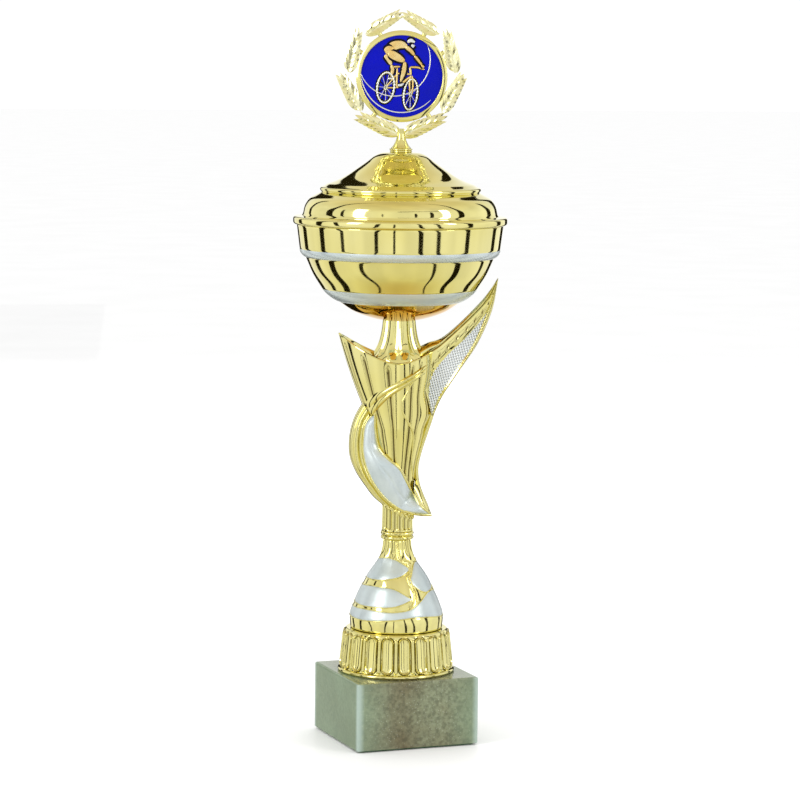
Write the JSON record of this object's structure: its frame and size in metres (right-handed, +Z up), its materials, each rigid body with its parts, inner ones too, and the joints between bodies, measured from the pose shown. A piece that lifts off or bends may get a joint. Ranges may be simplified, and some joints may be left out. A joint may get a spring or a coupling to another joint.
{
  "type": "cup trophy",
  "caption": "Lidded gold award cup on a winged torch stem, bell foot and square marble base, with a wreath emblem holder on the lid.",
  "frame": {"origin": "centre of the underside of the felt pad under the marble base", "axes": "+Z up along the tie rod, -Y out of the front face of the base, +X to its right as seen from the front"},
  "size_m": [0.1244, 0.1244, 0.4252],
  "materials": {
    "felt": "dark green wool felt",
    "marble": "polished grey-green marble with pale veins and brown clouds",
    "steel": "zinc-plated",
    "gold_plastic": "vacuum-metallised mirror gold",
    "silver_plastic": "vacuum-metallised satin silver",
    "gold_metal": "spun sheet, mirror gold under clear lacquer",
    "silver_metal": "satin silver band",
    "emblem_blue": "deep blue enamel on aluminium",
    "relief_gold": "embossed, gold and silver",
    "cover_plastic": "gold-coloured moulded cover"
  },
  "bodies": {
    "cup": {"felt_pad": "felt", "marble_base": "marble", "base_washer": "steel", "base_nut": "steel", "tie_rod": "steel", "foot_drum": "gold_plastic", "foot_bell": "gold_plastic", "bell_panels": "silver_plastic", "stem_collar": "gold_plastic", "torch_figure": "gold_plastic", "wing_panels": "silver_plastic", "leaf_panels": "silver_plastic", "neck_spool": "gold_plastic", "bowl": "gold_metal", "lower_band": "silver_metal", "upper_band": "silver_metal", "bowl_washer": "steel", "bowl_nut": "steel"},
    "lid": {"lid": "gold_metal"},
    "emblem_holder": {"lid_washer": "steel", "lid_screw": "steel", "top_washer": "gold_plastic", "wreath_holder": "gold_plastic", "emblem_disc": "emblem_blue", "rider_relief": "relief_gold", "back_cover": "cover_plastic"}
  },
  "joints": [
    {"name": "lid_lift", "type": "slide", "parent": "cup", "child": "lid", "axis": [0, 0, 1], "range_m": [0, 0.12]},
    {"name": "holder_turn", "type": "hinge", "parent": "lid", "child": "emblem_holder", "pos_m": [0, 0, 0.345], "axis": [0, 0, 1], "continuous": true}
  ]
}
